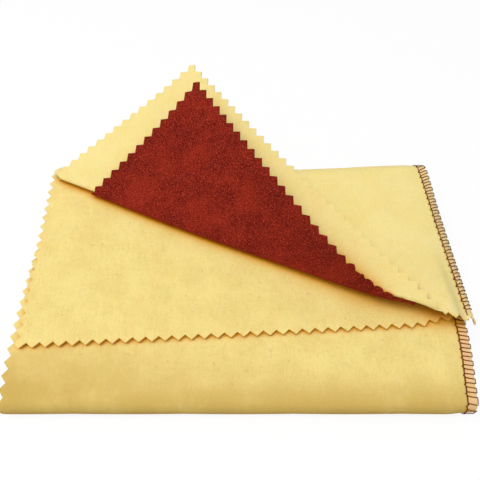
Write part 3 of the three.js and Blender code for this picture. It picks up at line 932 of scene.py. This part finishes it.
@dataclass
class Overlock:
    """The three-thread overlock seam.

    Attributes:
        shape: The folded cloth.
        stitch: The stitches' length.
        thread: The threads' diameter.
        gap: Between a thread and the cloth.
        spike: How far past the needle line the loopers' loops are pulled.
        upper_slant: How far along the cloth the upper ones run to the edge, in stitches.
        lower_slant: The same of the lower ones.
        sides: Of a thread's section.
    """

    shape: FoldedShape
    stitch: float = 3.7 * MM
    thread: float = 0.36 * MM
    gap: float = 0.06 * MM
    spike: float = 0.7 * MM
    upper_slant: float = 0.62
    lower_slant: float = 0.14
    sides: int = 6

    @property
    def level(self) -> float:
        """How far a thread on a face of the cloth lies from the insert's middle."""
        cut = self.shape.cut
        return cut.seam_pitch + cut.thickness / 2 + self.gap + self.thread / 2

    def _stitch_places(self) -> Array:
        """Where the needle goes in, along the cloth."""
        start = 2.4 * MM
        length = self.shape.cut.length - 2 * start
        count = round(length / self.stitch) - 1
        return start + length * (np.arange(count) + 1) / (count + 1)

    def needle_path(self) -> Array:
        """The needle thread's path in cloth coordinates.

        It runs over the upper face from hole to hole, and at each hole sends a loop through the
        cloth and back along the lower face.

        Returns:
            Points as rows of u, v and w.
        """
        line, aside = self.shape.cut.needle_line, 0.2 * self.thread
        # Of each point of a stitch: the share of it along the cloth, how far aside, and the height
        # in levels.
        over = [(-0.8, 0.0, 1.04), (-0.5, 0.0, 1.06), (-0.2, 0.0, 1.04), (-0.06, 0.0, 0.8)]
        there = [(-0.2, -aside, -1.0), (-0.5, -aside, -1.02), (-0.78, -aside, -1.0)]
        back = [(share, -side, height) for share, side, height in reversed(there)]
        stitch = [*over, (-0.05, 0.0, -0.8), *there, (-0.84, 0.0, -1.0), *back,
                  (0.05, 0.0, -0.8), (0.06, 0.0, 0.8)]
        return np.array([(line + side, v + share * self.stitch, self.level * height)
                         for v in self._stitch_places() for share, side, height in stitch])

    def looper_path(self, face: Face) -> Array:
        """A looper thread's path: from each needle hole out to the edge, along it and back.

        Args:
            face: The face of the cloth that it lies on.

        Returns:
            Points as rows of u, v and w.
        """
        cut = self.shape.cut
        tip, before = cut.needle_line - self.spike, cut.needle_line - 0.1 * MM
        past, edge = cut.needle_line + 0.5 * MM, cut.width + self.gap + self.thread / 2
        far = self.stitch * (self.upper_slant if face is Face.UPPER else self.lower_slant)
        near = 0.3 * far
        # Of each point from the edge to the tip: where it lies across and along the cloth, the
        # share of a stitch from there to its side of the loop, and the height in levels.
        half = [(edge, far, 0.25, 0.9), (edge - 0.1 * MM, far, 0.25, 0.97),
                (edge - 0.5 * MM, far, 0.25, 1.02),
                ((tip + edge) / 2, (near + far) / 2, 0.25, 1.05),
                (past, near, 0.23, 1.05), (before, near, 0.12, 1.12)]
        loop = [(u, along - share * self.stitch, height) for u, along, share, height in half]
        loop.append((tip, 0.0, 1.02))
        loop += [(u, along + share * self.stitch, height)
                 for u, along, share, height in reversed(half)]
        return np.array([(u, v + along, face.value * self.level * height)
                         for v in self._stitch_places() for u, along, height in loop])

    def tube(self, name: str, path: Array) -> bpy.types.Object:
        """Makes a thread along a path.

        Args:
            name: The piece's name.
            path: Points as rows of u, v and w.

        Returns:
            The piece.
        """
        centre = self.shape.on_cloth(path[:, :2], path[:, 2])
        along = np.gradient(centre, axis=0)
        along /= np.linalg.norm(along, axis=1)[:, None]
        askew = np.array([0.31, 0.17, 0.93])  # no thread runs this way
        across = np.cross(along, askew)
        across /= np.linalg.norm(across, axis=1)[:, None]
        over = np.cross(along, across)
        n, last = self.sides, len(path) - 1
        angles = (2 * math.pi * np.arange(n) / n)[:, None]
        ring = (across[:, None] * np.cos(angles) + over[:, None] * np.sin(angles)) * self.thread / 2
        faces = [(i * n + k, i * n + (k + 1) % n, (i + 1) * n + (k + 1) % n, (i + 1) * n + k)
                 for i in range(last) for k in range(n)]
        faces += [tuple(reversed(range(n))), tuple(range(last * n, (last + 1) * n))]
        return put_mesh(name, (centre[:, None] + ring).reshape(-1, 3), faces)


@dataclass(frozen=True)
class Lamp:
    """A soft square lamp that faces the cloth.

    Attributes:
        name: The lamp's name.
        place: Where it hangs.
        size: Of its face.
        power: In watts.
    """

    name: str
    place: tuple[float, float, float]
    size: float
    power: float

    def hang(self) -> None:
        """Hangs it in the scene."""
        data = bpy.data.lights.new(self.name, "AREA")
        data.shape = "SQUARE"
        data.size = self.size
        data.energy = self.power
        lamp = put(self.name, data)
        lamp.location = self.place
        lamp.rotation_euler = (-Vector(self.place)).to_track_quat("-Z", "Y").to_euler()


@dataclass
class Studio:
    """The floor, the light and the camera.

    Attributes:
        eye: The camera's place.
        pitch: How far it looks down.
        lens: Its focal length in millimetres, on a 36 mm sensor.
        sky_light: The world's light from above.
        side_light: The same from the sides.
        floor_bounce: How light the floor is to the light that the cloth gets from it.
        floor_tone: How light it is to the eye.
        floor_glow: The share of pure white in what the eye sees of it.
        lamps: The lamps.
    """

    eye: tuple[float, float, float] = (0.0006, -0.11874, 0.20615)
    pitch: float = math.radians(53)
    lens: float = 35.8
    sky_light: float = 0.5
    side_light: float = 0.25
    floor_bounce: float = 0.5
    floor_tone: float = 0.95
    floor_glow: float = 0.88
    lamps: tuple[Lamp, ...] = (Lamp("key_lamp", (-0.42, -0.12, 1.05), 0.6, 7.6),
                               Lamp("fill_lamp", (0.4, -0.5, 1.0), 0.8, 2.5))

    def camera(self) -> None:
        """Sets the camera at the photograph's view."""
        data = bpy.data.cameras.new("camera")
        data.lens = self.lens
        data.sensor_width = 36.0
        data.clip_start = 10 * MM
        camera = put("camera", data)
        camera.location = self.eye
        camera.rotation_euler = Euler((math.pi / 2 - self.pitch, 0.0, 0.0))
        bpy.context.scene.camera = camera

    def floor(self) -> None:
        """Lays a white floor that keeps a soft shadow."""
        nodes = Nodes(bpy.data.materials.new("floor"))
        seen = nodes.backdrop_rays()
        bounce, tone = ((grey, grey, grey, 1.0) for grey in (self.floor_bounce, self.floor_tone))
        plain = nodes.add("BsdfDiffuse", {"Color": nodes.mix(seen, bounce, tone)}).outputs[0]
        white = nodes.add("Emission", {"Color": WHITE, "Strength": 1.0}).outputs[0]
        share = nodes.times(seen, self.floor_glow)
        material = nodes.finish(nodes.add("MixShader", {0: share, 1: plain, 2: white}))
        reach = 4.0
        corners = reach * np.array([(-1, -1, 0), (1, -1, 0), (1, 1, 0), (-1, 1, 0)])
        floor = put_mesh("floor", corners, [(0, 1, 2, 3)])
        floor.data.materials.append(material)
        floor.location.z = -0.1 * MM

    def world(self) -> None:
        """Sets a white world that lights softly, and more from above than from the sides."""
        nodes = Nodes(bpy.data.worlds.new("world"))
        up = nodes.add("SeparateXYZ", {0: nodes.add("TexCoord").outputs["Generated"]}).outputs[2]
        light = nodes.add("MapRange", {0: up, 1: 0.0, 2: 0.9,
                                       3: self.side_light, 4: self.sky_light})
        soft = nodes.add("Background", {0: WHITE, 1: light.outputs[0]}).outputs[0]
        white = nodes.add("Background", {0: WHITE}).outputs[0]
        mixed = nodes.add("MixShader", {0: nodes.backdrop_rays(), 1: soft, 2: white})
        bpy.context.scene.world = nodes.finish(mixed, "OutputWorld")

    def build(self) -> None:
        """Sets everything round the cloth."""
        bpy.context.scene.view_settings.view_transform = "Standard"
        self.camera()
        self.floor()
        self.world()
        for lamp in self.lamps:
            lamp.hang()


@dataclass
class PolishingCloth:
    """The whole cloth: its three plies and its seam.

    Attributes:
        shape: The folded cloth.
        pinking: The zigzag of its cut edges.
        insert_side_margin: How far the insert stays inside the lower cover at the pinked side.
        insert_end_margin: The same at its two ends.
        upper_side_margin: How far the upper cover does at the pinked side.
        crease_radius: Of the roll at the crease, to the upper cover's middle.
        flap_curl: How fast the turned corner's tilt grows away from it, in radians a metre.
    """

    shape: FoldedShape = field(default_factory=FoldedShape)
    pinking: Pinking = field(default_factory=Pinking)
    insert_side_margin: float = 24.0 * MM
    insert_end_margin: float = 6.6 * MM
    upper_side_margin: float = 2.5 * MM
    crease_radius: float = 1.1 * MM
    flap_curl: float = math.radians(0.07) / MM

    def cover_turn(self) -> CornerTurn:
        """How the upper cover's corner is turned back."""
        tilts = (math.radians(20.7), math.radians(28.2), math.radians(35))
        return CornerTurn(self.shape.cut.pitch, self.crease_radius, tilts, self.flap_curl,
                          skew=0.056)

    def insert_turn(self) -> CornerTurn:
        """How the insert's corner is turned back."""
        tilts = (math.radians(36.8), math.radians(50.5), math.radians(125))
        return CornerTurn(0.0, self.crease_radius + self.shape.cut.pitch, tilts, self.flap_curl,
                          skew=0.04, stretch=0.1, pucker=0.8 * MM)

    def finishes(self) -> tuple[FlannelFinish, FlannelFinish, FlannelFinish]:
        """The finishes of the upper cover, the lower cover and the insert."""
        # The covers' crease colour is painted warm shade; the insert's lighter one is painted
        # bounced light.
        crease, through = linear(226, 158, 14), (1.0, 0.6, 0.2)
        upper = FlannelFinish("upper_flannel", linear(245, 223, 148), linear(251, 236, 176),
                              linear(238, 209, 122), crease, linear(248, 216, 160), through)
        # The lower cover's deep colour also paints shade on the front fold's roll.
        lower = FlannelFinish("lower_flannel", linear(244, 219, 139), linear(250, 231, 164),
                              linear(202, 168, 84), crease, linear(246, 202, 152), through,
                              mottle=0.22, painted_shade_fold=self.shape.front_start,
                              fold_slant=self.shape.slant - self.shape.turn)
        rouge = FlannelFinish("rouge_flannel", linear(118, 18, 7), linear(208, 76, 52),
                              linear(86, 10, 6), linear(165, 62, 8), linear(138, 40, 27),
                              (1.0, 0.2, 0.1), nap=0.55 * MM, fineness=19.0, speckle=0.8,
                              mottle=0.75, rubbed=0.16, glow=0.1, sheen=0.0)
        return upper, lower, rouge

    def _dress(self, piece: bpy.types.Object, node: str,
               material: bpy.types.Material) -> None:
        """Gives a piece its material and puts it in its node's place."""
        piece.data.materials.append(material)
        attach(piece, BODY)
        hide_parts(node)
        LOG.info("%s: %d faces", piece.name, len(piece.data.polygons))

    def build_plies(self) -> None:
        cut = self.shape.cut
        upper_flannel, lower_flannel, rouge = (finish.build(cut) for finish in self.finishes())
        upper = (self.upper_side_margin, 0.0)
        insert = (self.insert_side_margin, self.insert_end_margin)
        for name, margins, order, turn, material, slot in (
            ("cover_top", upper, 1, self.cover_turn(), upper_flannel, "flannel"),
            ("rouge_insert", insert, 0, self.insert_turn(), rouge, "rouge_flannel"),
            ("cover_bottom", (0.0, 0.0), -1, None, lower_flannel, "flannel"),
        ):
            drawing = PlyDrawing(cut, self.pinking, *margins, turned=turn is not None)
            piece = ClothPiece(name + "_cloth", drawing, self.shape, order, turn).build()
            self._dress(piece, name, material)

    def build_seam(self) -> None:
        """Makes the overlock's three threads."""
        seam = Overlock(self.shape)
        material = ThreadFinish("thread", linear(84, 34, 16), linear(120, 58, 30)).build()
        for name, path in (("needle_thread", seam.needle_path()),
                           ("upper_looper_thread", seam.looper_path(Face.UPPER)),
                           ("lower_looper_thread", seam.looper_path(Face.LOWER))):
            self._dress(seam.tube(name + "_stitches", path), name, material)


def main() -> None:
    """Builds the studio and the cloth, in order."""
    logging.basicConfig(level=logging.INFO)
    Studio().build()
    cloth = PolishingCloth()
    cloth.build_plies()
    cloth.build_seam()


if __name__ == "__main__":
    main()
